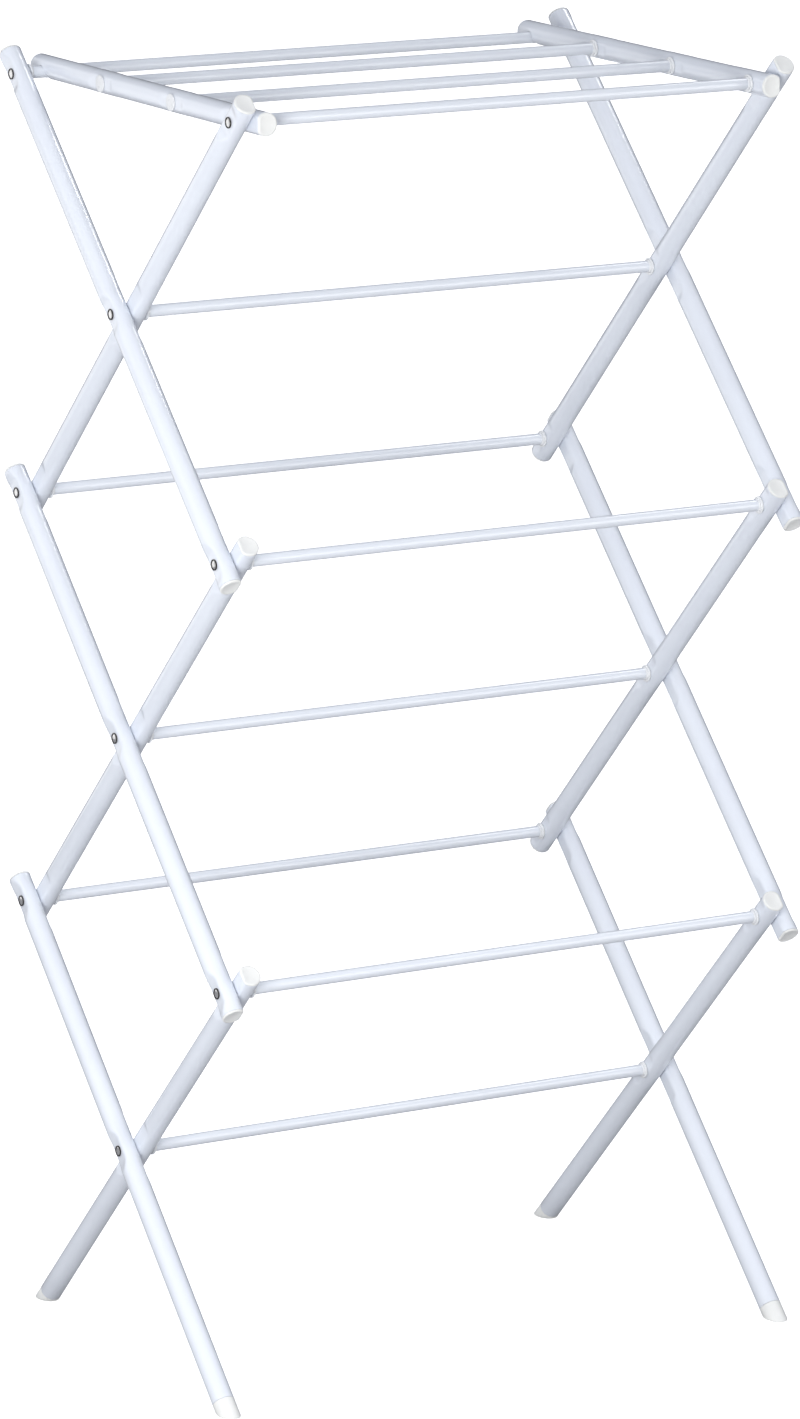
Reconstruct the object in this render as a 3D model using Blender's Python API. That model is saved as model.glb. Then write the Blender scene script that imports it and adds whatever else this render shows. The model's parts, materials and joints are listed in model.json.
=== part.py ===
"""Folding clothes drying rack: three crossed-leg stages per side, cross rods and a hinged top shelf.

Metres, +Z up, floor at Z = 0. X runs along the rods, the front faces -Y. Stored fully open.
Outer legs run from the top at the rear to the bottom at the front, inner legs the other way.
"""
import math

import bmesh
import bpy
from mathutils import Vector

for old in list(bpy.data.objects):
    bpy.data.objects.remove(old, do_unlink=True)

# ---- driving dimensions -------------------------------------------------------------------
GAP = 0.0003                    # running clearance between neighbouring pieces
HALF_LEG = 0.250                # centre pivot to end pivot along a leg
OPEN_ANGLE = math.radians(45.0)  # each leg from the vertical when the rack stands open
FOOT_REACH = 0.255              # lowest pivot to the floor, along a bottom leg
LEG_END = 0.0235                # a leg or shelf bar runs this far past its end pivot
LEG_R = 0.0095                  # leg and shelf bar tube, outside radius
WALL = 0.0008                   # tube wall
OUTER_X = 0.2655                # centre plane of the outer legs, each side
PLANE_STEP = 0.0150             # outer leg to inner leg, and inner leg to shelf bar
CONTACT_FLAT = 0.00735          # pressed flat where two tubes cross: its distance from the tube axis
SEAT_FLAT = 0.0084              # pressed flat where a rod ring sits
SCREW_FLAT = 0.00735            # pressed flat under a screw head, as deep as the one on the far side
FLAT_HALF = 0.030               # half length of the pressed flats at a pivot
FLAT_RUN = 0.010                # length over which a flat fades into the round tube
ROD_R = 0.005                   # cross rods
ROD_DEPTH = 0.004               # a rod ends this far beyond the axis of the tube that holds it
RING_R = 0.0074                 # flange of the ring on a rod end
RING_T = 0.0012                 # its thickness
SLEEVE_R = 0.0058               # short sleeve of the ring
SLEEVE_T = 0.0030               # how far the sleeve stands off the tube
BUTTON_R = 0.0070               # button over the end of a shelf rod, on the outside of the shelf bar
BUTTON_T = 0.0015               # its thickness
BUTTON_EDGE = 0.0004            # bevel round its face
SCREW_R = 0.0019                # screw shank
SCREW_HEAD_R = 0.0042           # screw head
SCREW_HEAD_T = 0.0018           # height of the domed head
SCREW_BITE = 0.0090             # length of the shank inside the rod
ROD_END = 0.0120                # length of the narrowed end of a rod
PEG_MOUTH = 0.0010              # mouth of the narrowed end of a rod that takes no screw
CAP_LIP = 0.0020                # thickness of an end cap outside its tube
CAP_PLUG = 0.0080               # length of a cap inside its tube
FOOT_LIP = 0.0125               # foot outside its tube, along the leg axis
FOOT_PLUG = 0.0140              # foot inside its tube
SHELF_ROD_1 = 0.122             # rods of the shelf, from the shelf's own pivot
SHELF_ROD_2 = 0.246
HOOK_LIFT = 0.0032              # the shelf bar's axis lies this far above the rear top rod
HOOK_FLARE = 0.0018             # the hook's mouth widens towards the front
TUBE_SIDES = 16
ROD_SIDES = 12
SCREW_SIDES = 10

INNER_X = OUTER_X - PLANE_STEP
SHELF_X = INNER_X - PLANE_STEP
STEP_Y = HALF_LEG * math.sin(OPEN_ANGLE)
STEP_Z = HALF_LEG * math.cos(OPEN_ANGLE)
BASE_Z = FOOT_REACH * math.cos(OPEN_ANGLE)
X_AXIS = Vector((1.0, 0.0, 0.0))

# Pivots in the side view: row of centre pivots, rear pivots and front pivots.
PIVOT = {
    "lower_cross": Vector((0.0, 0.0, BASE_Z)),
    "middle_cross": Vector((0.0, 0.0, BASE_Z + 2.0 * STEP_Z)),
    "upper_cross": Vector((0.0, 0.0, BASE_Z + 4.0 * STEP_Z)),
    "lower_rear": Vector((0.0, STEP_Y, BASE_Z + STEP_Z)),
    "lower_front": Vector((0.0, -STEP_Y, BASE_Z + STEP_Z)),
    "middle_rear": Vector((0.0, STEP_Y, BASE_Z + 3.0 * STEP_Z)),
    "middle_front": Vector((0.0, -STEP_Y, BASE_Z + 3.0 * STEP_Z)),
    "rear_top": Vector((0.0, STEP_Y, BASE_Z + 5.0 * STEP_Z)),
    "shelf_front": Vector((0.0, -STEP_Y, BASE_Z + 5.0 * STEP_Z)),
}
SHELF_SPAN = PIVOT["rear_top"].y - PIVOT["shelf_front"].y
SHELF_TILT = math.atan2(HOOK_LIFT, SHELF_SPAN)
DOWN_FRONT = Vector((0.0, -math.sin(OPEN_ANGLE), -math.cos(OPEN_ANGLE)))
DOWN_REAR = Vector((0.0, math.sin(OPEN_ANGLE), -math.cos(OPEN_ANGLE)))
SHELF_WAY = Vector((0.0, math.cos(SHELF_TILT), math.sin(SHELF_TILT)))


# ---- materials ----------------------------------------------------------------------------
def paint(name, colour, roughness, metallic=0.0, coat=0.0):
    """Material of one class of piece."""
    mat = bpy.data.materials.new(name)
    mat.use_nodes = True
    shader = mat.node_tree.nodes["Principled BSDF"]
    shader.inputs["Base Color"].default_value = (*colour, 1.0)
    shader.inputs["Roughness"].default_value = roughness
    shader.inputs["Metallic"].default_value = metallic
    shader.inputs["Coat Weight"].default_value = coat
    mat.diffuse_color = (*colour, 1.0)
    return mat


WHITE_TUBE = paint("white_coated_tube", (0.84, 0.85, 0.88), 0.28, coat=0.4)
WHITE_ROD = paint("white_coated_rod", (0.84, 0.85, 0.88), 0.28, coat=0.4)
CAP_PLASTIC = paint("off_white_plastic", (0.84, 0.83, 0.80), 0.45)
BRIGHT_SCREW = paint("bright_screw", (0.75, 0.74, 0.72), 0.20, metallic=1.0)


# ---- building helpers ---------------------------------------------------------------------
def add_object(name, bm, mat):
    """Finish a mesh as one named, smooth-shaded object."""
    bmesh.ops.recalc_face_normals(bm, faces=bm.faces)
    mesh = bpy.data.meshes.new(name)
    bm.to_mesh(mesh)
    bm.free()
    obj = bpy.data.objects.new(name, mesh)
    bpy.context.scene.collection.objects.link(obj)
    if mat is not None:
        mesh.materials.append(mat)
    mesh.shade_smooth()
    return obj


def ring(bm, centre, across, radius, low_x, high_x, sides):
    """One cross-section, a circle cut flat at low_x and high_x from its centre."""
    made = []
    for step in range(sides):
        turn = 2.0 * math.pi * step / sides
        side = min(max(radius * math.cos(turn), -low_x), high_x)
        made.append(bm.verts.new(centre + X_AXIS * side + across * (radius * math.sin(turn))))
    return made


def bridge(bm, first, second):
    """Wall between two cross-sections."""
    count = len(first)
    for step in range(count):
        after = (step + 1) % count
        bm.faces.new((first[step], first[after], second[after], second[step]))


def lathe_rows(bm, centre, axis, across, profile, sides):
    """Turned surface from a list of (distance along the axis, radius)."""
    other = axis.cross(across)
    rows = []
    for along, radius in profile:
        row = []
        for step in range(sides):
            turn = 2.0 * math.pi * step / sides
            spoke = across * (radius * math.cos(turn)) + other * (radius * math.sin(turn))
            row.append(bm.verts.new(centre + axis * along + spoke))
        rows.append(row)
    for first, second in zip(rows[:-1], rows[1:]):
        bridge(bm, first, second)
    return rows


def lathe(bm, centre, axis, across, profile, sides):
    """The same, closed with a disc at both ends."""
    rows = lathe_rows(bm, centre, axis, across, profile, sides)
    bm.faces.new(rows[0])
    bm.faces.new(rows[-1])


def cut(body, cutter):
    """Subtract the cutter and remove it."""
    cutter.hide_render = True
    cutter.display_type = "WIRE"
    tool = body.modifiers.new("openings", "BOOLEAN")
    tool.operation = "DIFFERENCE"
    tool.solver = "EXACT"
    tool.object = cutter
    bpy.context.view_layer.update()
    deps = bpy.context.evaluated_depsgraph_get()
    shaped = bpy.data.meshes.new_from_object(body.evaluated_get(deps))
    body.modifiers.clear()
    plain = body.data
    body.data = shaped
    bpy.data.meshes.remove(plain)
    bpy.data.objects.remove(cutter, do_unlink=True)
    body.data.name = body.name


def flat_at(along, zones, key, size):
    """Distance of the pressed flat from the axis at one place on a tube, or the round size."""
    depth = size
    for zone in zones:
        reach = abs(along - zone["at"])
        share = min(max((reach - zone["half"]) / zone["run"], 0.0), 1.0)
        share = share * share * (3.0 - 2.0 * share)
        depth = min(depth, zone[key] + (size - zone[key]) * share)
    return depth


def tube(name, origin, way, start, end, zones, side, closed_start, closed_end, dome_end=False):
    """Hollow tube along way from origin + start to origin + end, pressed flat in its zones.

    A zone gives the flats on its outward and inward faces. side is -1 on the left, +1 on the right.
    """
    stops = {start, end}
    for zone in zones:
        for offset in (zone["half"], zone["half"] + zone["run"]):
            for place in (zone["at"] - offset, zone["at"] + offset):
                if start + 0.004 < place < end - 0.008:
                    stops.add(place)
    stops = sorted(stops)
    across = X_AXIS.cross(way)
    outer_rows = []
    inner_rows = []
    if dome_end:
        stops = stops[:-1] + [end - 0.006, end - 0.0025, end - 0.0006, end]
    shrink = {0.006: 0.0, 0.0025: 0.0009, 0.0006: 0.0028, 0.0: 0.0048}
    bm = bmesh.new()
    for place in stops:
        out_flat = flat_at(place, zones, "out", LEG_R)
        in_flat = flat_at(place, zones, "in", LEG_R)
        low, high = (out_flat, in_flat) if side < 0 else (in_flat, out_flat)
        less = 0.0
        if dome_end:
            less = shrink.get(round(end - place, 6), 0.0)
        centre = origin + way * place
        centre.x = origin.x
        outer_rows.append(ring(bm, centre, across, LEG_R - less, low, high, TUBE_SIDES))
        if dome_end and end - place < 0.0055:
            continue
        inside = place
        if place == start and closed_start:
            inside = start + CAP_LIP
        if place == end and closed_end:
            inside = end - CAP_LIP
        if dome_end and abs(end - place - 0.006) < 1e-6:
            inside = end - 0.0035
        spot = origin + way * inside
        spot.x = origin.x
        inner_rows.append(ring(bm, spot, across, LEG_R - WALL, low - WALL, high - WALL, TUBE_SIDES))
    for rows in (outer_rows, inner_rows):
        for first, second in zip(rows[:-1], rows[1:]):
            bridge(bm, first, second)
    for index, closed in ((0, closed_start), (-1, closed_end or dome_end)):
        if closed:
            bm.faces.new(outer_rows[index])
            bm.faces.new(inner_rows[index])
        else:
            bridge(bm, outer_rows[index], inner_rows[index])
    return add_object(name, bm, WHITE_TUBE)


def hole_cutter(holes, side):
    """Round holes along X: (place, radius, near x, far x), measured outward from the tube plane."""
    bm = bmesh.new()
    for place, radius, near, far in holes:
        centre = Vector((place.x + side * near, place.y, place.z))
        profile = [(0.0, radius), (far - near, radius)]
        lathe(bm, centre, X_AXIS * side, Vector((0.0, 0.0, 1.0)), profile, ROD_SIDES)
    return add_object("cutter", bm, None)


def zone(at, out, inward, half=FLAT_HALF, run=FLAT_RUN):
    """Pressed place on a tube."""
    return {"at": at, "out": out, "in": inward, "half": half, "run": run}


def cap(name, end_point, way, side, out_flat, in_flat):
    """End cap: a lip with a bevelled rim outside the tube and a plug inside it."""
    low, high = (out_flat, in_flat) if side < 0 else (in_flat, out_flat)
    across = X_AXIS.cross(way)
    bm = bmesh.new()
    rows = []
    less = WALL + GAP
    steps = (
        (-CAP_LIP - CAP_PLUG, less + 0.0006),
        (-CAP_LIP - CAP_PLUG + 0.001, less),
        (-CAP_LIP + GAP, less),
        (-CAP_LIP + GAP, 0.0),
        (-0.0006, 0.0),
        (0.0, 0.0006),
    )
    for along, drop in steps:
        place = end_point + way * along
        rows.append(ring(bm, place, across, LEG_R - drop, low - drop, high - drop, TUBE_SIDES))
    for first, second in zip(rows[:-1], rows[1:]):
        bridge(bm, first, second)
    bm.faces.new(rows[0])
    bm.faces.new(rows[-1])
    return add_object(name, bm, CAP_PLASTIC)


def foot(name, seam, way):
    """Foot: a plug in the leg and a lip that is cut level at the floor."""
    across = X_AXIS.cross(way)
    bm = bmesh.new()
    rows = []
    for along, radius in ((-FOOT_PLUG, LEG_R - WALL - GAP), (GAP, LEG_R - WALL - GAP), (GAP, LEG_R)):
        rows.append(ring(bm, seam + way * along, across, radius, radius, radius, TUBE_SIDES))
    for height, radius in ((0.0008, LEG_R), (0.0, LEG_R - 0.0006)):
        row = ring(bm, seam, across, radius, radius, radius, TUBE_SIDES)
        for vert in row:
            vert.co += way * ((height - vert.co.z) / way.z)
        rows.append(row)
    for first, second in zip(rows[:-1], rows[1:]):
        bridge(bm, first, second)
    bm.faces.new(rows[0])
    bm.faces.new(rows[-1])
    return add_object(name, bm, CAP_PLASTIC)


def rod(name, pivot, half_length, ring_x, mouth_r, button_x=None):
    """Tubular cross rod with a ring near each end and ends narrowed to a small mouth.

    With button_x, the rod goes right through its tubes and ends in a flat button outside them.
    """
    profile = [(-half_length, ROD_R)]
    if button_x is not None:
        profile = [
            (-half_length, BUTTON_R - BUTTON_EDGE),
            (-half_length + BUTTON_EDGE, BUTTON_R),
            (-button_x, BUTTON_R),
            (-button_x, ROD_R),
        ]
    profile += [
        (-ring_x, ROD_R),
        (-ring_x, RING_R),
        (-ring_x + RING_T, RING_R),
        (-ring_x + RING_T, SLEEVE_R),
        (-ring_x + SLEEVE_T, SLEEVE_R),
        (-ring_x + SLEEVE_T + 0.0004, ROD_R),
    ]
    profile += [(-along, radius) for along, radius in reversed(profile)]
    bore = [
        (half_length, mouth_r),
        (half_length - ROD_END, mouth_r),
        (half_length - ROD_END - 0.002, ROD_R - WALL),
    ]
    profile += bore + [(-along, radius) for along, radius in reversed(bore)]
    bm = bmesh.new()
    rows = lathe_rows(bm, pivot, X_AXIS, Vector((0.0, 0.0, 1.0)), profile, ROD_SIDES)
    bridge(bm, rows[-1], rows[0])
    return add_object(name, bm, WHITE_ROD)


def screw(name, pivot, side, head_x, rod_end):
    """Domed screw from the outer face of the stack of tubes into the end of a rod."""
    profile = [(head_x + SCREW_HEAD_T, 0.0011)]
    for share in (0.30, 0.62, 0.88):
        turn = 0.5 * math.pi * share
        profile.append((head_x + SCREW_HEAD_T * math.cos(turn), SCREW_HEAD_R * math.sin(turn)))
    profile.append((head_x + GAP, SCREW_HEAD_R))
    profile.append((head_x + GAP, SCREW_R))
    profile.append((rod_end - SCREW_BITE, SCREW_R))
    bm = bmesh.new()
    lathe(bm, pivot, X_AXIS * side, Vector((0.0, 0.0, 1.0)), profile, SCREW_SIDES)
    return add_object(name, bm, BRIGHT_SCREW)


# ---- legs ---------------------------------------------------------------------------------
FULL = 2.0 * HALF_LEG
LOWER = HALF_LEG + FOOT_REACH
BORE = ROD_R + GAP
PIN = SCREW_R + GAP
THROUGH = LEG_R + 0.002
TOUCH = CONTACT_FLAT
SEAT = SEAT_FLAT

# Level, plane, top pivot, pivots from the top down, and the flats (outward, inward) at each.
LEGS = (
    ("upper", "outer", ("rear_top", "upper_cross", "middle_front"),
     ((SCREW_FLAT, SEAT), (SCREW_FLAT, TOUCH), (SCREW_FLAT, TOUCH))),
    ("middle", "outer", ("middle_rear", "middle_cross", "lower_front"),
     ((SCREW_FLAT, TOUCH), (SCREW_FLAT, TOUCH), (SCREW_FLAT, TOUCH))),
    ("lower", "outer", ("lower_rear", "lower_cross"),
     ((SCREW_FLAT, TOUCH), (SCREW_FLAT, TOUCH))),
    ("upper", "inner", ("shelf_front", "upper_cross", "middle_rear"),
     ((SCREW_FLAT, TOUCH), (TOUCH, SEAT), (TOUCH, SEAT))),
    ("middle", "inner", ("middle_front", "middle_cross", "lower_rear"),
     ((TOUCH, SEAT), (TOUCH, SEAT), (TOUCH, SEAT))),
    ("lower", "inner", ("lower_front", "lower_cross"),
     ((TOUCH, SEAT), (TOUCH, SEAT))),
)


def leg_holes(plane, pivots, x_plane):
    """Holes of one leg: it passes the screws, and if it holds a rod takes it on its inward wall."""
    holes = []
    for key in pivots:
        place = PIVOT[key].copy()
        place.x = x_plane
        takes_rod = (plane == "inner" and key != "shelf_front") or key == "rear_top"
        if takes_rod:
            holes.append((place, BORE, -THROUGH, 0.0))
            holes.append((place, PIN, 0.003, THROUGH))
        else:
            holes.append((place, PIN, -THROUGH, THROUGH))
    return holes


for side_name, side in (("left", -1.0), ("right", 1.0)):
    for level, plane, pivots, flats in LEGS:
        way = DOWN_FRONT if plane == "outer" else DOWN_REAR
        x_plane = side * (OUTER_X if plane == "outer" else INNER_X)
        origin = PIVOT[pivots[0]].copy()
        origin.x = x_plane
        spots = [zone(index * HALF_LEG, *pair) for index, pair in enumerate(flats)]
        # The cap at the front end of a leg is a piece of its own, the rear one closes its tube.
        capped_top = plane == "inner"
        start = -LEG_END + (CAP_LIP if capped_top else 0.0)
        if level == "lower":
            end = LOWER - FOOT_LIP
            closed_end = False
        else:
            capped_bottom = plane == "outer"
            end = FULL + LEG_END - (CAP_LIP if capped_bottom else 0.0)
            closed_end = not capped_bottom
        name = f"{level}_{plane}_leg_{side_name}"
        leg = tube(name, origin, way, start, end, spots, side, not capped_top, closed_end)
        cut(leg, hole_cutter(leg_holes(plane, pivots, x_plane), side))
        if capped_top:
            out_flat, in_flat = flats[0]
            top = origin - way * LEG_END
            cap(f"{level}_{plane}_leg_cap_{side_name}", top, -way, side, out_flat, in_flat)
        if level != "lower" and plane == "outer":
            out_flat, in_flat = flats[-1]
            tip = origin + way * (FULL + LEG_END)
            cap(f"{level}_{plane}_leg_cap_{side_name}", tip, way, side, out_flat, in_flat)
        if level == "lower":
            place = "front" if plane == "outer" else "rear"
            foot(f"{place}_foot_{side_name}", origin + way * end, way)


# ---- shelf bars ---------------------------------------------------------------------------
def hook_cutter(centre, side):
    """Downward slot for the rear top rod, round at the top and wider towards the front below."""
    up = X_AXIS.cross(SHELF_WAY)
    radius = ROD_R + GAP + 0.00005
    outline = []
    for step in range(9):
        turn = math.pi * step / 8.0
        outline.append((radius * math.cos(turn), radius * math.sin(turn)))
    drop = 0.016
    outline.append((-radius - HOOK_FLARE * drop / 0.0053, -drop))
    outline.append((radius, -drop))
    bm = bmesh.new()
    rows = []
    for reach in (-0.014, 0.014):
        row = [bm.verts.new(centre + X_AXIS * reach + SHELF_WAY * a + up * b) for a, b in outline]
        rows.append(row)
    bridge(bm, rows[0], rows[1])
    bm.faces.new(rows[0])
    bm.faces.new(rows[1])
    return add_object("cutter", bm, None)


for side_name, side in (("left", -1.0), ("right", 1.0)):
    origin = PIVOT["shelf_front"].copy()
    origin.x = side * SHELF_X
    spots = [
        zone(0.0, TOUCH, SEAT),
        zone(SHELF_ROD_1, SEAT, SEAT, 0.008, 0.006),
        zone(SHELF_ROD_2, SEAT, SEAT, 0.008, 0.006),
    ]
    start = -LEG_END + CAP_LIP
    end = SHELF_SPAN / math.cos(SHELF_TILT) + LEG_END
    node = f"shelf_bar_{side_name}"
    bar = tube(node, origin, SHELF_WAY, start, end, spots, side, False, False, dome_end=True)
    holes = [(origin, BORE, -THROUGH, 0.0), (origin, PIN, 0.003, THROUGH)]
    for along in (SHELF_ROD_1, SHELF_ROD_2):
        holes.append((origin + SHELF_WAY * along, BORE, -THROUGH, THROUGH))
    cut(bar, hole_cutter(holes, side))
    seat = PIVOT["rear_top"].copy()
    seat.x = side * SHELF_X
    cut(bar, hook_cutter(seat, side))
    cap(f"shelf_bar_cap_{side_name}", origin - SHELF_WAY * LEG_END, -SHELF_WAY, side, TOUCH, SEAT)


# ---- rods and their screws ------------------------------------------------------------------
def rod_set(name, key, tube_x, face, head_x):
    """A rod between two tubes, with one screw at each end."""
    half = tube_x + ROD_DEPTH
    rod(f"{name}_rod", PIVOT[key], half, tube_x - face - GAP, PIN)
    for side_name, side in (("left", -1.0), ("right", 1.0)):
        screw(f"{name}_screw_{side_name}", PIVOT[key], side, head_x, half)


HEAD_X = OUTER_X + SCREW_FLAT
LEG_RODS = (
    "upper_cross", "middle_rear", "middle_front", "middle_cross", "lower_rear", "lower_front", "lower_cross",
)
for key in LEG_RODS:
    rod_set(key, key, INNER_X, SEAT, HEAD_X)
rod_set("rear_top", "rear_top", OUTER_X, SEAT, HEAD_X)
rod_set("shelf_front", "shelf_front", SHELF_X, SEAT, INNER_X + SCREW_FLAT)
for name, along in (("shelf_middle", SHELF_ROD_1), ("shelf_rear", SHELF_ROD_2)):
    centre = PIVOT["shelf_front"] + SHELF_WAY * along
    button_x = SHELF_X + SEAT + GAP
    rod(f"{name}_rod", centre, button_x + BUTTON_T, SHELF_X - SEAT - GAP, PEG_MOUTH, button_x)
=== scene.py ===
"""Visual model of a folding clothes drying rack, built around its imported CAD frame.

Every faceted CAD node is replaced by a smooth piece of the same size that rides on the same body:
pressed steel tubes, rods, moulded rings, caps, buttons and feet, and domed screws.
"""
import json
import math

import bmesh
import bpy
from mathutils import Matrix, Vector


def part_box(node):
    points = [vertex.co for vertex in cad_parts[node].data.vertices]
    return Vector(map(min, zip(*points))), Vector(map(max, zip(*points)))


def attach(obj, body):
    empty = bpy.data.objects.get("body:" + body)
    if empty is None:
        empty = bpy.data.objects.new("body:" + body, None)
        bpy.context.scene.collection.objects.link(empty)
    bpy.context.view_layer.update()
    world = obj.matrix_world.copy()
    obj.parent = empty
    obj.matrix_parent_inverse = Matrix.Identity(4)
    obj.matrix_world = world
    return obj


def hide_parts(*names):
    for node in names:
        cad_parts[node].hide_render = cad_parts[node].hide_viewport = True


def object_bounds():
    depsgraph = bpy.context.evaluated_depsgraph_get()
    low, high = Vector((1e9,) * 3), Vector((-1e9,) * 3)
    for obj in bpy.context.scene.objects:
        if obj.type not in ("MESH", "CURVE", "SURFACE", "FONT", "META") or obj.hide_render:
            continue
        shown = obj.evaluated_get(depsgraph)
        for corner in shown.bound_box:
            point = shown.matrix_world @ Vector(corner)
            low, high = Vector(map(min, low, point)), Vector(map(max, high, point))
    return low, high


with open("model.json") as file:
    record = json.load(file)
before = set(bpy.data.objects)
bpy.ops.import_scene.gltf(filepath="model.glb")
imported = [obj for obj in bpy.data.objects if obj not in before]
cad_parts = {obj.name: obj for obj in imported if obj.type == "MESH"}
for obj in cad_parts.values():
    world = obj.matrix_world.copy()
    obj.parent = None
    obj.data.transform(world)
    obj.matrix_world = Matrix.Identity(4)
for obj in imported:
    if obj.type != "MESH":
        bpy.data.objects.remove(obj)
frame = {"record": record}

CAD_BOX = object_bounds()

# ---- finish dimensions, in metres ------------------------------------------------------------
GAP = 0.0003           # clearance kept from neighbours, as in the frame
WALL = 0.0008          # tube wall
LEG_END = 0.0235       # a leg or shelf bar runs this far past its end pivot
CAP_LIP = 0.0020       # end cap outside its tube
CAP_PLUG = 0.0080      # end cap inside its tube
CAP_RIM = 0.0013       # rounded rim of a cap
CAP_DISH = 0.00025     # depth of the dish in a cap's face
DISH_BORDER = 0.0008   # flat border between the rim and the dish
DISH_SLOPE = 0.0008    # width of the slope down to the dish's floor
FOOT_LIP = 0.0125      # foot outside its tube, along the leg
FOOT_PLUG = 0.0140     # foot inside its tube
FOOT_RIM = 0.0009      # rounded rim of a sole
SOLE_BORDER = 0.0022   # border of a sole, rim included, that stands on the floor
SOLE_SLOPE = 0.0004    # width of the slope up to the recess
SOLE_RECESS = 0.0005   # height of the recess over the floor
PLUG_TAPER = 0.0009    # how much the nose of a plug narrows
PLUG_NOSE = 0.0012     # and over which length
BAR_DOME = 0.0060      # length of the rounded rear end of a shelf bar
DOME_DRAW = 0.62       # how far that end draws in, as a share of the tube's radius
EDGE = 0.00022         # softened edge of a cut tube
LIP_EDGE = 0.3         # the middle of a lip's rounding is this share of EDGE in from both faces
SEAM = 0.00030         # groove between a tube and the plastic in its end
# Pressed flats: distance from the tube's axis, half length, and the length over which they fade.
TOUCH = (0.00735, 0.030, 0.010)     # where two tubes cross
SEAT = (0.00840, 0.015, 0.008)      # under a rod ring
SCREWED = (0.00640, 0.009, 0.013)   # under a screw head
SEAT_FLAT = SEAT[0]
SCREW_FLAT = SCREWED[0]
FLAT_SOFTNESS = 0.6    # rounding of a flat's edge, as a share of its depth
BULGE = 0.075          # sideways swelling of a pressed tube
RING_R = 0.0074        # flange of the ring on a rod end
RING_T = 0.0012
SLEEVE_R = 0.0058      # sleeve of the ring
SLEEVE_T = 0.0030
SLEEVE_TIP = 0.0003    # thin tip of the sleeve beyond that
RING_SOFT = 0.00035    # rounding of the ring's edges
RING_FILLET = 0.0002   # between the flange and the sleeve
RING_FIT = 0.00002     # play between the ring's bore and the rod
RING_BACK = SEAT_FLAT + GAP   # back of a ring, from the axis of its tube
BUTTON_R = 0.0070      # button over a rod end on the outside of a shelf bar
BUTTON_T = 0.0015
BUTTON_SOFT = 0.0005   # rounding of the button's edge
BUTTON_ARC = 0.8       # share of a quarter turn that this rounding covers
BUTTON_SWELL = 0.0003  # how far the middle of its face stands out
BUTTON_BEVEL = 0.0001  # at its back
ROD_R = 0.0050         # cross rod
ROD_DEPTH = 0.0040     # a rod ends this far beyond the axis of the tube that holds it
ROD_EDGE = 0.0006      # rounding of a rod's ends
SCREW_R = 0.0019       # shank of a screw
COLLAR_R = 0.0046      # collar round a screw head, near black as painted shade of the gap round the head
COLLAR_T = 0.0010
COLLAR_ROUND = 0.0004  # how far the collar's crest stands above its edges
COLLAR_PLAY = 0.0001   # between the head and its collar
SCREW_HEAD_R = 0.0037
SCREW_HEAD_T = 0.0009
SCREW_BITE = 0.0090    # length of the shank inside the rod
SCREW_RIM = 0.0003     # straight rim under the dome
SCREW_CROWN = 0.0002   # radius of the small disc that closes the dome
SCREW_BEVEL = (0.00006, 0.0001)   # under the head: height and width
SCREW_NOSE = (0.0005, 0.0006)     # at the end of the shank: length and width
HOOK_PLAY = 0.00035    # hook clearance round the rear top rod
HOOK_DROP = 0.016
HOOK_REACH = 0.014     # half width of the cutter, more than a tube's radius
HOOK_FLARE = 0.34      # slope of the hook's front wall
TUBE_SIDES = 56
ROD_SIDES = 40
TURNED_SIDES = 44
EVEN_STATIONS = 12     # cross-sections spread evenly along a tube
FADE_STEPS = 6         # steps over the length in which a flat fades
END_CLEAR = 0.0015     # no cross-section of a flat is nearer to an end than this
SHARP = math.radians(38.0)   # edges steeper than this stay sharp

UP = Vector((0.0, 0.0, 1.0))
X_AXIS = Vector((1.0, 0.0, 0.0))
SIDES = (("left", -1.0), ("right", 1.0))


# ---- places read from the frame ----------------------------------------------------------------
def middle(node):
    """Centre of a CAD node's box."""
    low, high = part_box(node)
    return (low + high) * 0.5


LEG_RODS = ("upper_cross", "middle_rear", "middle_front", "middle_cross",
            "lower_rear", "lower_front", "lower_cross")
ROD_KEYS = LEG_RODS + ("rear_top", "shelf_front", "shelf_middle", "shelf_rear")
PIVOT = {key: middle(key + "_rod") for key in ROD_KEYS}
BODY_OF = {node: body for body, nodes in frame["record"]["behaviour"]["bodies"].items() for node in nodes}

LEG_LOW, LEG_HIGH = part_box("middle_outer_leg_right")
LEG_R = (LEG_HIGH.x - LEG_LOW.x) / 2.0
OUTER_X = middle("middle_outer_leg_right").x
INNER_X = middle("middle_inner_leg_right").x
SHELF_X = middle("shelf_bar_right").x
SHELF_WAY = (PIVOT["shelf_rear"] - PIVOT["shelf_front"]).normalized()
HALF_LEG = (PIVOT["upper_cross"] - PIVOT["rear_top"]).length
FOOT_REACH = PIVOT["lower_cross"].z / ((PIVOT["lower_rear"] - PIVOT["lower_cross"]).normalized().z)


# ---- materials ---------------------------------------------------------------------------------
NOISE_RANGE = (0.35, 0.65)   # the part of the noise that is spread over a whole range
TINT_RANGE = (0.38, 0.62)    # the same, between two colours
RELIEF_STRENGTH = 0.35
COAT_ROUGHNESS = 0.10


def noise(tree, scale, detail=2.0):
    """Noise in the piece's own metres."""
    place = tree.nodes.new("ShaderNodeTexCoord")
    made = tree.nodes.new("ShaderNodeTexNoise")
    made.inputs["Scale"].default_value = scale
    made.inputs["Detail"].default_value = detail
    tree.links.new(place.outputs["Object"], made.inputs["Vector"])
    return made.outputs["Fac"]


def spread(tree, value, low, high):
    """Noise spread over a range of one number."""
    made = tree.nodes.new("ShaderNodeMapRange")
    made.inputs["From Min"].default_value = NOISE_RANGE[0]
    made.inputs["From Max"].default_value = NOISE_RANGE[1]
    made.inputs["To Min"].default_value = low
    made.inputs["To Max"].default_value = high
    tree.links.new(value, made.inputs["Value"])
    return made.outputs["Result"]


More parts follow.
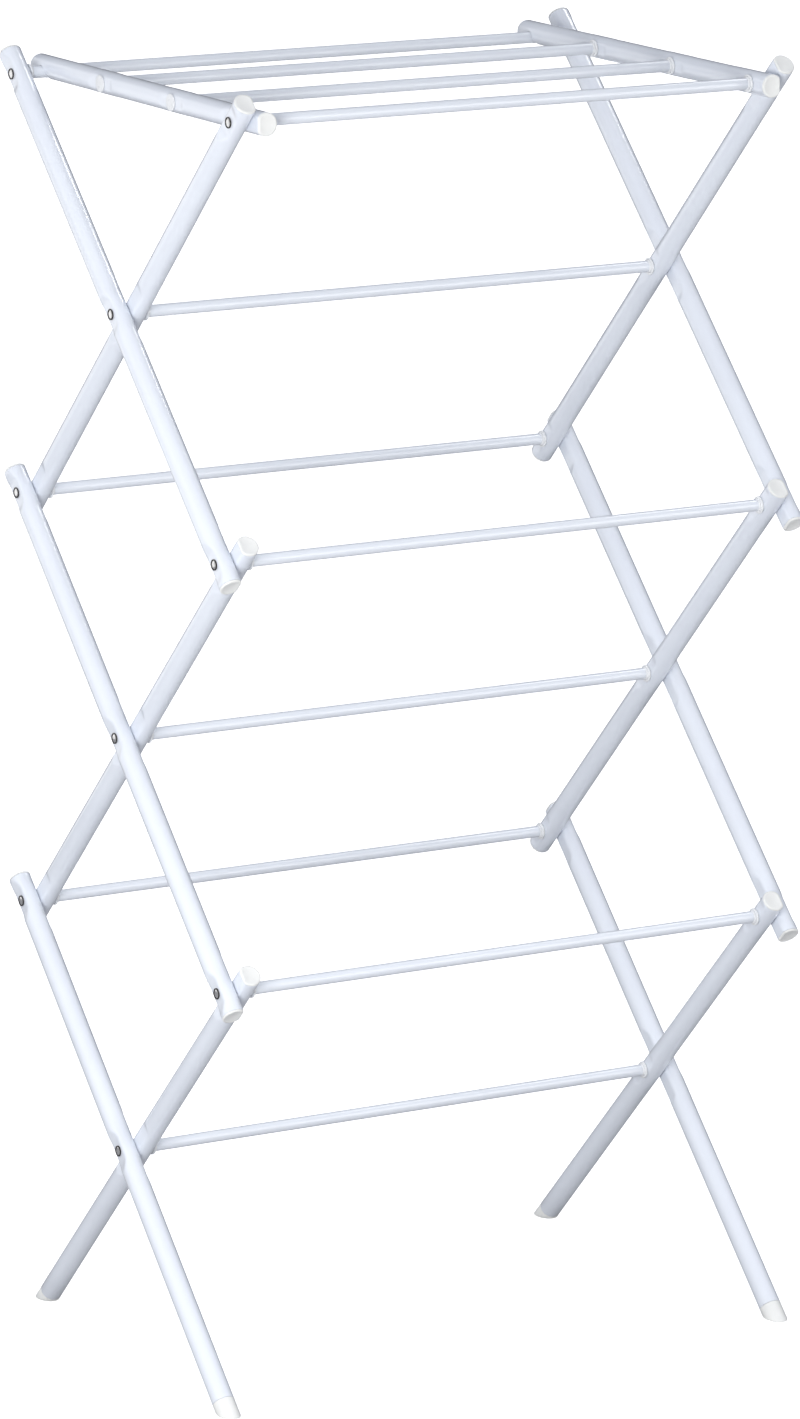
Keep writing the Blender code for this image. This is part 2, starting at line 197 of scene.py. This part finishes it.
def tint(tree, value, first, second):
    """Noise spread between two colours."""
    made = tree.nodes.new("ShaderNodeValToRGB")
    made.color_ramp.elements[0].position = TINT_RANGE[0]
    made.color_ramp.elements[0].color = (*first, 1.0)
    made.color_ramp.elements[1].position = TINT_RANGE[1]
    made.color_ramp.elements[1].color = (*second, 1.0)
    tree.links.new(value, made.inputs["Fac"])
    return made.outputs["Color"]


def surface(name, colours, patch, rough, rough_scale, relief, relief_scale, metallic=0.0, coat=0.0):
    """Procedural material: patchy tint, uneven gloss and a fine relief."""
    mat = bpy.data.materials.new(name)
    mat.use_nodes = True
    tree = mat.node_tree
    shader = tree.nodes["Principled BSDF"]
    tree.links.new(tint(tree, noise(tree, patch), *colours), shader.inputs["Base Color"])
    tree.links.new(spread(tree, noise(tree, rough_scale, 3.0), *rough), shader.inputs["Roughness"])
    bump = tree.nodes.new("ShaderNodeBump")
    bump.inputs["Strength"].default_value = RELIEF_STRENGTH
    bump.inputs["Distance"].default_value = relief
    tree.links.new(noise(tree, relief_scale, 2.0), bump.inputs["Height"])
    tree.links.new(bump.outputs["Normal"], shader.inputs["Normal"])
    shader.inputs["Metallic"].default_value = metallic
    shader.inputs["Coat Weight"].default_value = coat
    shader.inputs["Coat Roughness"].default_value = COAT_ROUGHNESS
    mat.diffuse_color = (*colours[0], 1.0)
    return mat


TUBE_COAT = surface("white_powder_coat_tube", ((0.775, 0.812, 0.880), (0.790, 0.828, 0.893)), 14.0,
                    (0.28, 0.36), 90.0, 0.00003, 420.0, coat=0.8)
ROD_COAT = surface("white_powder_coat_rod", ((0.775, 0.812, 0.872), (0.790, 0.828, 0.885)), 18.0,
                   (0.28, 0.36), 110.0, 0.00003, 480.0, coat=0.8)
PLASTIC = surface("moulded_off_white_plastic", ((0.830, 0.835, 0.812), (0.855, 0.860, 0.837)), 60.0,
                  (0.36, 0.48), 260.0, 0.00006, 1300.0)
RING_PLASTIC = surface("moulded_white_plastic", ((0.800, 0.815, 0.830), (0.820, 0.835, 0.850)), 80.0,
                       (0.26, 0.36), 260.0, 0.00004, 1300.0)
STEEL = surface("bright_plated_steel", ((0.74, 0.735, 0.72), (0.80, 0.795, 0.78)), 300.0,
                (0.16, 0.26), 700.0, 0.00002, 2600.0, metallic=1.0)
# Near-black steel for the screw collars: painted shade of the dark gap round each screw head.
GAP_SHADE_STEEL = surface("steel_painted_as_gap_shade", ((0.060, 0.056, 0.055), (0.085, 0.080, 0.078)), 300.0,
                     (0.22, 0.34), 700.0, 0.00002, 2600.0, metallic=1.0)


# ---- mesh helpers --------------------------------------------------------------------------------
def quarter(steps):
    """Angles of a quarter turn in even steps, both ends included."""
    return [0.5 * math.pi * step / steps for step in range(steps + 1)]


def add_piece(name, bm, mat, body, nodes=()):
    """Finish a mesh as one piece of the model on its body."""
    bmesh.ops.remove_doubles(bm, verts=bm.verts, dist=1e-7)
    bmesh.ops.recalc_face_normals(bm, faces=bm.faces)
    mesh = bpy.data.meshes.new(name)
    bm.to_mesh(mesh)
    bm.free()
    mesh.shade_smooth()
    mesh.set_sharp_from_angle(angle=SHARP)
    mesh.materials.append(mat)
    piece = bpy.data.objects.new(name, mesh)
    bpy.context.scene.collection.objects.link(piece)
    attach(piece, body)
    if nodes:
        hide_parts(*nodes)
    return piece


def bridge(bm, first, second):
    """Wall between two cross-sections."""
    count = len(first)
    for step in range(count):
        after = (step + 1) % count
        bm.faces.new((first[step], first[after], second[after], second[step]))


def bridge_all(bm, rows):
    """Walls between all neighbouring cross-sections."""
    for first, second in zip(rows[:-1], rows[1:]):
        bridge(bm, first, second)


def close_end(bm, row, centre):
    """Fan of triangles over an open end."""
    hub = bm.verts.new(centre)
    count = len(row)
    for step in range(count):
        bm.faces.new((row[step], row[(step + 1) % count], hub))


def lathe(centre, axis, profile, sides, closed_loop=False):
    """Turned mesh from (distance along the axis, radius), closed by discs or back on itself."""
    across = UP if abs(axis.z) < 0.5 else X_AXIS
    other = axis.cross(across)
    bm = bmesh.new()
    rows = []
    for along, radius in profile:
        row = []
        for step in range(sides):
            turn = 2.0 * math.pi * step / sides
            spoke = across * (radius * math.cos(turn)) + other * (radius * math.sin(turn))
            row.append(bm.verts.new(centre + axis * along + spoke))
        rows.append(row)
    bridge_all(bm, rows)
    if closed_loop:
        bridge(bm, rows[-1], rows[0])
    else:
        close_end(bm, rows[0], centre + axis * profile[0][0])
        close_end(bm, rows[-1], centre + axis * profile[-1][0])
    return bm


# ---- pressed tubes ---------------------------------------------------------------------------------
def press(along, at, kind):
    """How far a pressed flat reaches into a tube at a place along it."""
    distance, half, run = kind
    share = min(max((abs(along - at) - half) / run, 0.0), 1.0)
    return (LEG_R - distance) * (1.0 - share * share * (3.0 - 2.0 * share))


def held(value, limit, depth):
    """A coordinate held softly below a flat."""
    blend = FLAT_SOFTNESS * depth
    if blend < 1e-7:
        return min(value, limit)
    overlap = max(blend - abs(value - limit), 0.0)
    return min(value, limit) - overlap * overlap / (4.0 * blend)


def section(bm, centre, across, drop, low, high):
    """Cross-section of a pressed tube. low and high are the press depths of its -X and +X faces."""
    radius = LEG_R - drop
    swell = 1.0 + BULGE * (low + high) / LEG_R
    made = []
    for step in range(TUBE_SIDES):
        turn = 2.0 * math.pi * step / TUBE_SIDES
        side = radius * math.cos(turn)
        side = held(side, radius - high, high)
        side = -held(-side, radius - low, low)
        made.append(bm.verts.new(centre + X_AXIS * side + across * (radius * swell * math.sin(turn))))
    return made


class Tube:
    """The axis of a pressed tube and the presses along it."""

    def __init__(self, origin, way, side, flats):
        self.origin = origin
        self.way = way
        self.side = side
        self.across = X_AXIS.cross(way)
        self.flats = flats

    def depths(self, along):
        """Press depths of the -X and +X faces."""
        out = max(press(along, at, outer) for at, outer, inner in self.flats)
        inward = max(press(along, at, inner) for at, outer, inner in self.flats)
        return (out, inward) if self.side < 0.0 else (inward, out)

    def row(self, bm, along, drop):
        """Cross-section at a place along the tube, set in from its outer surface by drop."""
        return section(bm, self.origin + self.way * along, self.across, drop, *self.depths(along))

    def stations(self, start, end):
        """Places along the tube that need a cross-section."""
        stops = {start, end}
        for step in range(1, EVEN_STATIONS):
            stops.add(start + (end - start) * step / EVEN_STATIONS)
        for at, outer, inner in self.flats:
            for distance, half, run in {outer, inner}:
                for step in range(FADE_STEPS + 1):
                    offset = half + run * step / FADE_STEPS
                    for place in (at - offset, at + offset):
                        if start + END_CLEAR < place < end - END_CLEAR:
                            stops.add(place)
        return sorted(stops)


def softened_end(bm, tube, end, inward):
    """Rows round the cut end of a tube, from its outer face to its bore. inward is +1 at a start."""
    rows = []
    for turn in quarter(3)[1:]:
        along = end + inward * EDGE * (1.0 - math.sin(turn))
        rows.append(tube.row(bm, along, EDGE * (1.0 - math.cos(turn))))
    rows.append(tube.row(bm, end, WALL))
    return rows


def open_tube(name, tube, start, end, body, node):
    """Tube open at both ends, with softened edges."""
    bm = bmesh.new()
    places = tube.stations(start + EDGE, end - EDGE)
    outer = [tube.row(bm, along, 0.0) for along in places]
    bore = [tube.row(bm, along, WALL) for along in reversed(places)]
    rows = outer + softened_end(bm, tube, end, -1.0) + bore + softened_end(bm, tube, start, 1.0)[::-1]
    bridge_all(bm, rows)
    bridge(bm, rows[-1], rows[0])
    return add_piece(name, bm, TUBE_COAT, body, (node,))


def end_cap(name, tube, tip, outward, body, nodes=()):
    """Moulded cap: plug, lip with a rounded rim and a shallow dish. outward is +1 at a tube's end."""
    plug = WALL + GAP
    nose = CAP_LIP + CAP_PLUG
    lip = CAP_LIP - SEAM
    profile = [(nose, plug + PLUG_TAPER), (nose - PLUG_NOSE, plug), (lip, plug)]
    profile += [(lip, EDGE), (lip - EDGE * LIP_EDGE, EDGE * LIP_EDGE), (lip - EDGE, 0.0)]
    for turn in quarter(6):
        profile.append((CAP_RIM * (1.0 - math.sin(turn)), CAP_RIM * (1.0 - math.cos(turn))))
    border = CAP_RIM + DISH_BORDER
    profile += [(0.0, border), (CAP_DISH * 0.5, border + DISH_SLOPE * 0.5), (CAP_DISH, border + DISH_SLOPE)]
    bm = bmesh.new()
    rows = [tube.row(bm, tip - outward * inset, drop) for inset, drop in profile]
    bridge_all(bm, rows)
    close_end(bm, rows[0], tube.origin + tube.way * (tip - outward * nose))
    close_end(bm, rows[-1], tube.origin + tube.way * (tip - outward * CAP_DISH))
    return add_piece(name, bm, PLASTIC, body, nodes)


def foot(name, tube, seam, body, node):
    """Moulded foot: plug, lip and a level sole with a rounded rim and a recessed middle."""
    bm = bmesh.new()
    plug = WALL + GAP
    rows = []
    nose = seam - FOOT_PLUG
    lip = seam + SEAM
    for along, drop in ((nose, plug + PLUG_TAPER), (nose + PLUG_NOSE, plug), (lip, plug),
                        (lip, EDGE), (lip + EDGE * LIP_EDGE, EDGE * LIP_EDGE), (lip + EDGE, 0.0)):
        rows.append(tube.row(bm, along, drop))
    sole = []
    for turn in quarter(5):
        sole.append((FOOT_RIM * (1.0 - math.sin(turn)), FOOT_RIM * (1.0 - math.cos(turn))))
    sole += [(0.0, SOLE_BORDER), (SOLE_RECESS, SOLE_BORDER + SOLE_SLOPE)]
    hub = None
    for height, drop in sole:
        row = tube.row(bm, seam, drop)
        for vert in row:
            vert.co += tube.way * ((height - vert.co.z) / tube.way.z)
        rows.append(row)
        hub = tube.origin + tube.way * ((height - tube.origin.z) / tube.way.z)
    bridge_all(bm, rows)
    close_end(bm, rows[0], tube.origin + tube.way * nose)
    close_end(bm, rows[-1], hub)
    return add_piece(name, bm, PLASTIC, body, (node,))


# ---- legs ------------------------------------------------------------------------------------------
# Level, plane, pivots from the top down, and the kinds of flat (outward, inward) at each.
LEGS = (
    ("upper", "outer", ("rear_top", "upper_cross", "middle_front"),
     ((SCREWED, SEAT), (SCREWED, TOUCH), (SCREWED, TOUCH))),
    ("middle", "outer", ("middle_rear", "middle_cross", "lower_front"),
     ((SCREWED, TOUCH), (SCREWED, TOUCH), (SCREWED, TOUCH))),
    ("lower", "outer", ("lower_rear", "lower_cross"),
     ((SCREWED, TOUCH), (SCREWED, TOUCH))),
    ("upper", "inner", ("shelf_front", "upper_cross", "middle_rear"),
     ((SCREWED, TOUCH), (TOUCH, SEAT), (TOUCH, SEAT))),
    ("middle", "inner", ("middle_front", "middle_cross", "lower_rear"),
     ((TOUCH, SEAT), (TOUCH, SEAT), (TOUCH, SEAT))),
    ("lower", "inner", ("lower_front", "lower_cross"),
     ((TOUCH, SEAT), (TOUCH, SEAT))),
)


def build_leg(level, plane, pivots, pairs, side_name, side):
    """One leg with what closes its two ends."""
    origin = PIVOT[pivots[0]].copy()
    way = (PIVOT[pivots[1]] - origin).normalized()
    origin.x = side * (OUTER_X if plane == "outer" else INNER_X)
    flats = [(index * HALF_LEG, *pair) for index, pair in enumerate(pairs)]
    tube = Tube(origin, way, side, flats)
    node = f"{level}_{plane}_leg_{side_name}"
    body = BODY_OF[node]
    cap_node = f"{level}_{plane}_leg_cap_{side_name}"
    # The frame has the cap at a leg's front end as a node, and the one at its rear end in the tube.
    top_nodes = (cap_node,) if plane == "inner" else ()
    bottom_nodes = () if plane == "inner" else (cap_node,)
    start = -LEG_END + CAP_LIP
    if level == "lower":
        end = HALF_LEG + FOOT_REACH - FOOT_LIP
        place = "front" if plane == "outer" else "rear"
        foot(f"foot_{place}_{side_name}", tube, end, body, f"{place}_foot_{side_name}")
    else:
        end = 2.0 * HALF_LEG + LEG_END - CAP_LIP
        tip = 2.0 * HALF_LEG + LEG_END
        end_cap(f"cap_{level}_{plane}_bottom_{side_name}", tube, tip, 1.0, body, bottom_nodes)
    end_cap(f"cap_{level}_{plane}_top_{side_name}", tube, -LEG_END, -1.0, body, top_nodes)
    open_tube(f"tube_{level}_{plane}_{side_name}", tube, start, end, body, node)


# ---- shelf bars --------------------------------------------------------------------------------------
def cut(piece, cutter):
    """Subtract the cutter and remove it."""
    tool = piece.modifiers.new("opening", "BOOLEAN")
    tool.operation = "DIFFERENCE"
    tool.solver = "EXACT"
    tool.object = cutter
    bpy.context.view_layer.update()
    deps = bpy.context.evaluated_depsgraph_get()
    shaped = bpy.data.meshes.new_from_object(piece.evaluated_get(deps))
    piece.modifiers.clear()
    plain = piece.data
    piece.data = shaped
    bpy.data.meshes.remove(plain)
    bpy.data.objects.remove(cutter, do_unlink=True)
    shaped.name = piece.name
    shaped.set_sharp_from_angle(angle=SHARP)


def hook_cutter(centre):
    """Downward slot for the rear top rod, round at the top and wider towards the front below."""
    up = X_AXIS.cross(SHELF_WAY)
    radius = ROD_R + HOOK_PLAY
    outline = []
    for step in range(25):
        turn = math.pi * step / 24.0
        outline.append((radius * math.cos(turn), radius * math.sin(turn)))
    outline.append((-radius - HOOK_FLARE * HOOK_DROP, -HOOK_DROP))
    outline.append((radius, -HOOK_DROP))
    bm = bmesh.new()
    rows = []
    for reach in (-HOOK_REACH, HOOK_REACH):
        rows.append([bm.verts.new(centre + X_AXIS * reach + SHELF_WAY * a + up * b) for a, b in outline])
    bridge(bm, rows[0], rows[1])
    bm.faces.new(rows[0])
    bm.faces.new(rows[1])
    bmesh.ops.recalc_face_normals(bm, faces=bm.faces)
    mesh = bpy.data.meshes.new("cutter")
    bm.to_mesh(mesh)
    bm.free()
    cutter = bpy.data.objects.new("cutter", mesh)
    bpy.context.scene.collection.objects.link(cutter)
    return cutter


def build_shelf_bar(side_name, side):
    """Shelf bar: capped at the front, domed at the rear and notched for the rear top rod."""
    origin = PIVOT["shelf_front"].copy()
    origin.x = side * SHELF_X
    flats = [(0.0, TOUCH, SEAT)]
    for key in ("shelf_middle", "shelf_rear"):
        flats.append(((PIVOT[key] - PIVOT["shelf_front"]).length, SEAT, SEAT))
    tube = Tube(origin, SHELF_WAY, side, flats)
    node = f"shelf_bar_{side_name}"
    body = BODY_OF[node]
    start = -LEG_END + CAP_LIP
    end = (PIVOT["rear_top"].y - origin.y) / SHELF_WAY.y + LEG_END
    bm = bmesh.new()
    places = tube.stations(start + EDGE, end - BAR_DOME)
    outer = [tube.row(bm, along, 0.0) for along in places]
    inner = [tube.row(bm, along, WALL) for along in reversed(places)]
    crown = []
    for turn in quarter(9)[1:-1]:
        along = end - BAR_DOME * (1.0 - math.sin(turn))
        crown.append(tube.row(bm, along, LEG_R * DOME_DRAW * (1.0 - math.cos(turn))))
    crown_in = []
    for turn in reversed(quarter(9)[1:-1]):
        drop = WALL + (LEG_R - WALL) * DOME_DRAW * (1.0 - math.cos(turn))
        along = end - BAR_DOME + (BAR_DOME - WALL) * math.sin(turn)
        crown_in.append(tube.row(bm, along, drop))
    bridge_all(bm, outer + crown)
    bridge_all(bm, crown_in + inner + softened_end(bm, tube, start, 1.0)[::-1] + [outer[0]])
    close_end(bm, crown[-1], origin + SHELF_WAY * end)
    close_end(bm, crown_in[0], origin + SHELF_WAY * (end - WALL))
    bar = add_piece(f"shelf_tube_{side_name}", bm, TUBE_COAT, body, (node,))
    seat = PIVOT["rear_top"].copy()
    seat.x = side * SHELF_X
    cut(bar, hook_cutter(seat))
    end_cap(f"cap_shelf_front_{side_name}", tube, -LEG_END, -1.0, body, (f"shelf_bar_cap_{side_name}",))


# ---- rods, rings, buttons and screws -------------------------------------------------------------------
def ring(name, centre, axis, body):
    """Moulded ring between a rod and a tube: flange and short sleeve, with soft edges."""
    soft = RING_SOFT
    profile = [(0.0, ROD_R + RING_FIT), (0.0, RING_R - soft)]
    for turn in quarter(4)[1:]:
        profile.append((soft * (1.0 - math.cos(turn)), RING_R - soft * (1.0 - math.sin(turn))))
    for turn in quarter(4):
        profile.append((RING_T - soft * (1.0 - math.sin(turn)), RING_R - soft * (1.0 - math.cos(turn))))
    profile += [(RING_T, SLEEVE_R + RING_FILLET), (RING_T + RING_FILLET, SLEEVE_R)]
    for turn in quarter(4):
        profile.append((SLEEVE_T - soft * (1.0 - math.sin(turn)), SLEEVE_R - soft * (1.0 - math.cos(turn))))
    profile.append((SLEEVE_T + SLEEVE_TIP, ROD_R + RING_FIT))
    bm = lathe(centre, axis, profile, TURNED_SIDES, closed_loop=True)
    add_piece(name, bm, RING_PLASTIC, body)


def button(name, centre, axis, body):
    """Low domed button over the end of a shelf rod."""
    soft = BUTTON_SOFT
    profile = [(0.0, BUTTON_R - BUTTON_BEVEL), (BUTTON_BEVEL, BUTTON_R)]
    for corner in quarter(5):
        turn = corner * BUTTON_ARC
        along = BUTTON_T - BUTTON_SWELL - soft * (1.0 - math.sin(turn))
        profile.append((along, BUTTON_R - soft * (1.0 - math.cos(turn))))
    for share in (0.75, 0.5, 0.25, 0.08):
        profile.append((BUTTON_T - BUTTON_SWELL * share * share, BUTTON_R * share))
    bm = lathe(centre, axis, profile, TURNED_SIDES)
    add_piece(name, bm, RING_PLASTIC, body)


def build_rod(key, half, ring_x):
    """A rod with softened ends and its two rings."""
    node = key + "_rod"
    body = BODY_OF[node]
    profile = []
    for turn in quarter(4):
        along = -half + ROD_EDGE * (1.0 - math.cos(turn))
        profile.append((along, ROD_R - ROD_EDGE * (1.0 - math.sin(turn))))
    count = 10
    for step in range(1, count):
        profile.append((-half + 2.0 * half * step / count, ROD_R))
    profile += [(-along, radius) for along, radius in reversed(profile[:5])]
    bm = lathe(PIVOT[key], X_AXIS, profile, ROD_SIDES)
    add_piece(f"bar_{key}", bm, ROD_COAT, body, (node,))
    for side_name, side in SIDES:
        place = PIVOT[key] + X_AXIS * (side * ring_x)
        ring(f"ring_{key}_{side_name}", place, X_AXIS * -side, body)


def build_screw(key, side_name, side, seat_x, rod_end):
    """Domed screw with the shank that runs into the rod, and the collar round its head, near black as
    painted shade of the gap there.
    """
    node = f"{key}_screw_{side_name}"
    base = seat_x + GAP
    inner = SCREW_HEAD_R + COLLAR_PLAY
    middle_r = (inner + COLLAR_R) / 2.0
    profile = [(base, inner)]
    for step in range(9):
        turn = math.pi * step / 8.0
        along = base + COLLAR_T - COLLAR_ROUND * (1.0 - math.sin(turn))
        profile.append((along, middle_r - (middle_r - inner) * math.cos(turn)))
    profile.append((base, COLLAR_R))
    bm = lathe(PIVOT[key], X_AXIS * side, profile, TURNED_SIDES, closed_loop=True)
    # The collar is near black: painted shade of the gap round the head.
    add_piece(f"collar_{node}", bm, GAP_SHADE_STEEL, BODY_OF[node])
    rise = SCREW_HEAD_T - SCREW_RIM
    profile = [(base + SCREW_HEAD_T, SCREW_CROWN)]
    for turn in quarter(9)[1:]:
        profile.append((base + SCREW_RIM + rise * math.cos(turn), SCREW_HEAD_R * math.sin(turn)))
    profile += [
        (base + SCREW_BEVEL[0], SCREW_HEAD_R),
        (base, SCREW_HEAD_R - SCREW_BEVEL[1]),
        (base, SCREW_R),
        (rod_end - SCREW_BITE + SCREW_NOSE[0], SCREW_R),
        (rod_end - SCREW_BITE, SCREW_R - SCREW_NOSE[1]),
    ]
    bm = lathe(PIVOT[key], X_AXIS * side, profile, TURNED_SIDES)
    add_piece(f"domed_{node}", bm, STEEL, BODY_OF[node], (node,))


for side_name, side in SIDES:
    for level, plane, pivots, pairs in LEGS:
        build_leg(level, plane, pivots, pairs, side_name, side)
    build_shelf_bar(side_name, side)

for key in LEG_RODS:
    build_rod(key, INNER_X + ROD_DEPTH, INNER_X - RING_BACK)
build_rod("rear_top", OUTER_X + ROD_DEPTH, OUTER_X - RING_BACK)
build_rod("shelf_front", SHELF_X + ROD_DEPTH, SHELF_X - RING_BACK)
for key in ("shelf_middle", "shelf_rear"):
    build_rod(key, SHELF_X + SEAT_FLAT, SHELF_X - RING_BACK)
    for side_name, side in SIDES:
        place = PIVOT[key] + X_AXIS * (side * (SHELF_X + SEAT_FLAT + GAP))
        button(f"button_{key}_{side_name}", place, X_AXIS * side, BODY_OF[key + "_rod"])

for side_name, side in SIDES:
    for key in LEG_RODS:
        build_screw(key, side_name, side, OUTER_X + SCREW_FLAT, INNER_X + ROD_DEPTH)
    build_screw("rear_top", side_name, side, OUTER_X + SCREW_FLAT, OUTER_X + ROD_DEPTH)
    build_screw("shelf_front", side_name, side, INNER_X + SCREW_FLAT, SHELF_X + ROD_DEPTH)


# ---- floor, light and camera -------------------------------------------------------------------------
FLOOR_RADIUS = 40.0
FLOOR_SIDES = 96
FLOOR_WHITE = (0.92, 0.92, 0.92, 1.0)
FLOOR_GLOW = 0.85                        # how much it shines by itself, as the camera sees it
FLOOR_BOUNCE = (0.42, 0.42, 0.43, 1.0)   # its colour where it lights the rack
SKY_COLOUR = (0.94, 0.965, 1.04, 1.0)
BACKDROP_WHITE = (1.0, 1.0, 1.0, 1.0)
BACKDROP_STRENGTH = 1.1
CAMERA_PLACE = Vector((-2.8150, -4.9661, 1.8015))
CAMERA_AZIMUTH = math.radians(-29.53)
CAMERA_DOWN = math.radians(12.573)
LENS = 175.90


def camera_split(tree, for_camera, for_light):
    """The first shader where the floor or the sky is looked at, the second where it lights the object."""
    path = tree.nodes.new("ShaderNodeLightPath")
    made = tree.nodes.new("ShaderNodeMixShader")
    tree.links.new(path.outputs["Is Camera Ray"], made.inputs["Fac"])
    tree.links.new(for_light, made.inputs[1])
    tree.links.new(for_camera, made.inputs[2])
    return made.outputs["Shader"]


def build_floor():
    """Pale seamless studio floor that is a little overexposed, as on a white sweep."""
    bm = bmesh.new()
    rim = [bm.verts.new((FLOOR_RADIUS * math.cos(a), FLOOR_RADIUS * math.sin(a), 0.0))
           for a in (2.0 * math.pi * step / FLOOR_SIDES for step in range(FLOOR_SIDES))]
    bm.faces.new(rim)
    mesh = bpy.data.meshes.new("studio_floor")
    bm.to_mesh(mesh)
    bm.free()
    floor = bpy.data.objects.new("studio_floor", mesh)
    bpy.context.scene.collection.objects.link(floor)
    mat = bpy.data.materials.new("studio_floor")
    mat.use_nodes = True
    tree = mat.node_tree
    tree.nodes.clear()
    sweep = tree.nodes.new("ShaderNodeBsdfDiffuse")
    sweep.inputs["Color"].default_value = FLOOR_WHITE
    glow = tree.nodes.new("ShaderNodeEmission")
    glow.inputs["Strength"].default_value = FLOOR_GLOW
    lit = tree.nodes.new("ShaderNodeAddShader")
    tree.links.new(sweep.outputs["BSDF"], lit.inputs[0])
    tree.links.new(glow.outputs["Emission"], lit.inputs[1])
    bounce = tree.nodes.new("ShaderNodeBsdfDiffuse")
    bounce.inputs["Color"].default_value = FLOOR_BOUNCE
    out = tree.nodes.new("ShaderNodeOutputMaterial")
    shown = camera_split(tree, lit.outputs["Shader"], bounce.outputs["BSDF"])
    tree.links.new(shown, out.inputs["Surface"])
    mesh.materials.append(mat)


# Name, place, size, power, and whether it only shows in glossy surfaces.
PANELS = (
    ("left_panel", (-1.80, 0.20, 1.10), (1.6, 1.8), 5.7, False),
    ("front_panel", (-2.00, -1.90, 0.80), (1.4, 1.2), 50.0, False),
    ("right_panel", (1.50, -2.30, 1.00), (1.4, 1.6), 17.8, False),
    ("edge_panel", (1.60, 0.25, 2.62), (0.34, 0.8), 6.9, True),
    ("back_panel", (-1.00, 1.70, 0.95), (1.5, 1.8), 7.8, True),
)
SKY_LOW = (0.15, 0.046)    # height in the sky and the strength up to there
SKY_HIGH = (0.85, 0.835)   # height in the sky and the strength from there up


def panel(name, place, aim, size, power, gloss_only):
    """Large soft white light that faces a point. With gloss_only it adds no diffuse light."""
    data = bpy.data.lights.new(name, "AREA")
    data.shape = "RECTANGLE"
    data.size, data.size_y = size
    data.energy = power
    light = bpy.data.objects.new(name, data)
    bpy.context.scene.collection.objects.link(light)
    light.location = place
    light.rotation_mode = "QUATERNION"
    light.rotation_quaternion = (aim - place).to_track_quat("-Z", "Y")
    light.visible_camera = False
    light.visible_diffuse = not gloss_only


def build_light():
    """Soft panels round the rack, a sky that fades from dim below to bright above, and a white backdrop."""
    world = bpy.data.worlds.new("studio")
    bpy.context.scene.world = world
    world.use_nodes = True
    tree = world.node_tree
    tree.nodes.clear()
    light = tree.nodes.new("ShaderNodeBackground")
    light.inputs["Color"].default_value = SKY_COLOUR
    place = tree.nodes.new("ShaderNodeTexCoord")
    split = tree.nodes.new("ShaderNodeSeparateXYZ")
    fade = tree.nodes.new("ShaderNodeMapRange")
    fade.inputs["From Min"].default_value = SKY_LOW[0]
    fade.inputs["From Max"].default_value = SKY_HIGH[0]
    fade.inputs["To Min"].default_value = SKY_LOW[1]
    fade.inputs["To Max"].default_value = SKY_HIGH[1]
    tree.links.new(place.outputs["Generated"], split.inputs["Vector"])
    tree.links.new(split.outputs["Z"], fade.inputs["Value"])
    tree.links.new(fade.outputs["Result"], light.inputs["Strength"])
    backdrop = tree.nodes.new("ShaderNodeBackground")
    backdrop.inputs["Strength"].default_value = BACKDROP_STRENGTH
    backdrop.inputs["Color"].default_value = BACKDROP_WHITE
    out = tree.nodes.new("ShaderNodeOutputWorld")
    shown = camera_split(tree, backdrop.outputs["Background"], light.outputs["Background"])
    tree.links.new(shown, out.inputs["Surface"])
    centre = (CAD_BOX[0] + CAD_BOX[1]) / 2.0
    for name, place, size, power, gloss_only in PANELS:
        panel(name, Vector(place), centre, size, power, gloss_only)
    bpy.context.scene.view_settings.view_transform = "Standard"
    bpy.context.scene.view_settings.look = "None"


def build_camera():
    """Camera in front of the rack, to its left and above its top."""
    data = bpy.data.cameras.new("camera")
    data.lens = LENS
    data.sensor_width = 36.0
    data.clip_end = 200.0
    camera = bpy.data.objects.new("camera", data)
    bpy.context.scene.collection.objects.link(camera)
    flat_share = math.cos(CAMERA_DOWN)
    ahead = Vector((-math.sin(CAMERA_AZIMUTH) * flat_share, math.cos(CAMERA_AZIMUTH) * flat_share,
                    -math.sin(CAMERA_DOWN)))
    camera.location = CAMERA_PLACE
    camera.rotation_mode = "QUATERNION"
    camera.rotation_quaternion = ahead.to_track_quat("-Z", "Y")
    bpy.context.scene.camera = camera


build_floor()
build_light()
build_camera()
